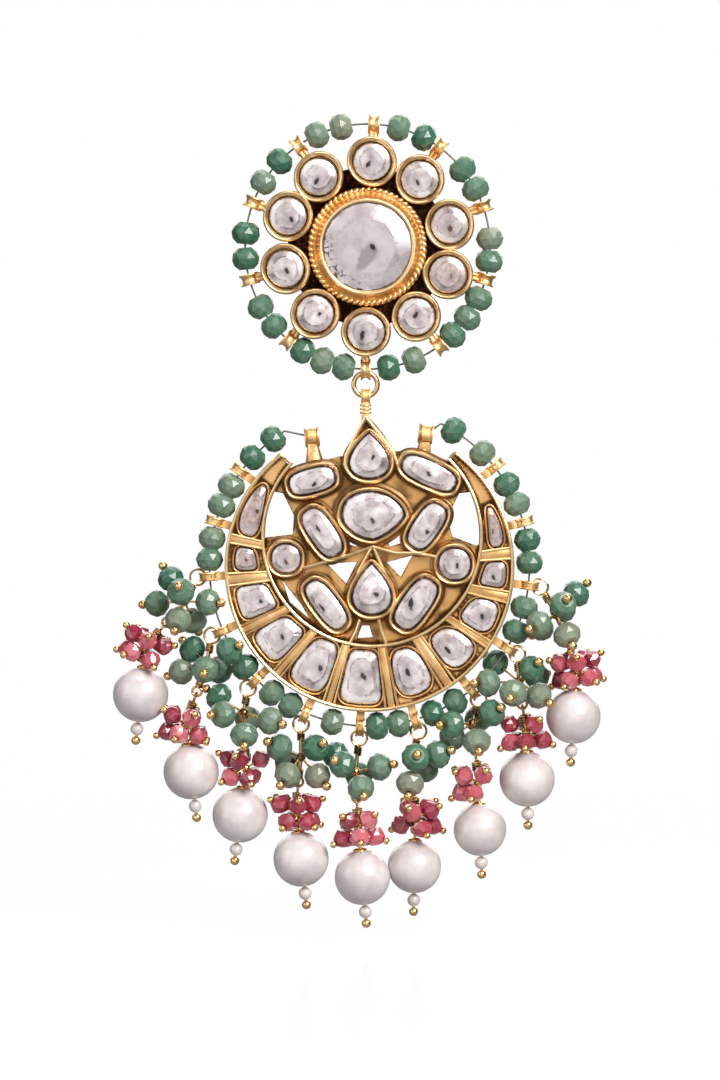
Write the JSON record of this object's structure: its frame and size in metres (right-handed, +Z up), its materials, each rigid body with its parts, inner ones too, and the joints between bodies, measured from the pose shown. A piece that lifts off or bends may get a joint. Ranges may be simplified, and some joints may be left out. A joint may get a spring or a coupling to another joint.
{
  "type": "earring",
  "caption": "Chandbali earring: a round stone-set stud with a post, a link and a crescent drop rimmed with beads and hung with bead clusters and pearls.",
  "frame": {"origin": "centre of the back of the round stud, where it sits on the ear lobe", "axes": "+Z up along the hanging earring, the front faces -Y, +Y along the ear post, +X to the right seen from the front"},
  "size_m": [0.0534, 0.0172, 0.0881],
  "materials": {
    "gold": "satin",
    "polki": "cut, foil backed",
    "green_stone": "faceted, polished",
    "pink_stone": "faceted, polished",
    "pearl": "pearl lustre",
    "thread": "matte"
  },
  "bodies": {
    "stud": {"stud_frame": "gold", "ear_post": "gold", "stud_center_stone": "polki", "petal_stone_1": "polki", "petal_stone_2": "polki", "petal_stone_3": "polki", "petal_stone_4": "polki", "petal_stone_5": "polki", "petal_stone_6": "polki", "petal_stone_7": "polki", "petal_stone_8": "polki", "petal_stone_9": "polki", "petal_stone_10": "polki", "stud_beads": "green_stone", "stud_string": "thread"},
    "link": {"link_ring": "gold"},
    "drop": {"crescent_frame": "gold", "crescent_stone_1": "polki", "crescent_stone_2": "polki", "crescent_stone_3": "polki", "crescent_stone_4": "polki", "crescent_stone_5": "polki", "crescent_stone_6": "polki", "crescent_stone_7": "polki", "crescent_stone_8": "polki", "crescent_stone_9": "polki", "crescent_stone_10": "polki", "crescent_stone_11": "polki", "top_teardrop_stone": "polki", "upper_left_stone": "polki", "upper_right_stone": "polki", "center_pear_stone": "polki", "mid_left_stone": "polki", "mid_right_stone": "polki", "left_round_stone": "polki", "right_round_stone": "polki", "lower_teardrop_stone": "polki", "lower_left_stone": "polki", "lower_right_stone": "polki", "rim_beads": "green_stone", "rim_string": "thread", "green_beads": "green_stone", "green_pins": "gold", "pink_beads": "pink_stone", "pink_pins": "gold", "pearl_1": "pearl", "pearl_2": "pearl", "pearl_3": "pearl", "pearl_4": "pearl", "pearl_5": "pearl", "pearl_6": "pearl", "pearl_7": "pearl", "pearl_8": "pearl", "pearl_9": "pearl", "seed_pearls": "pearl", "pearl_pins": "gold"}
  },
  "joints": [
    {"name": "side_swing", "type": "hinge", "parent": "stud", "child": "link", "pos_m": [-0.0002, -0.00155, -0.01485], "axis": [0, 1, 0], "range_deg": [-30, 30]},
    {"name": "fore_aft_swing", "type": "hinge", "parent": "link", "child": "drop", "pos_m": [-0.0002, -0.00155, -0.01614], "axis": [1, 0, 0], "range_deg": [-45, 45]}
  ]
}
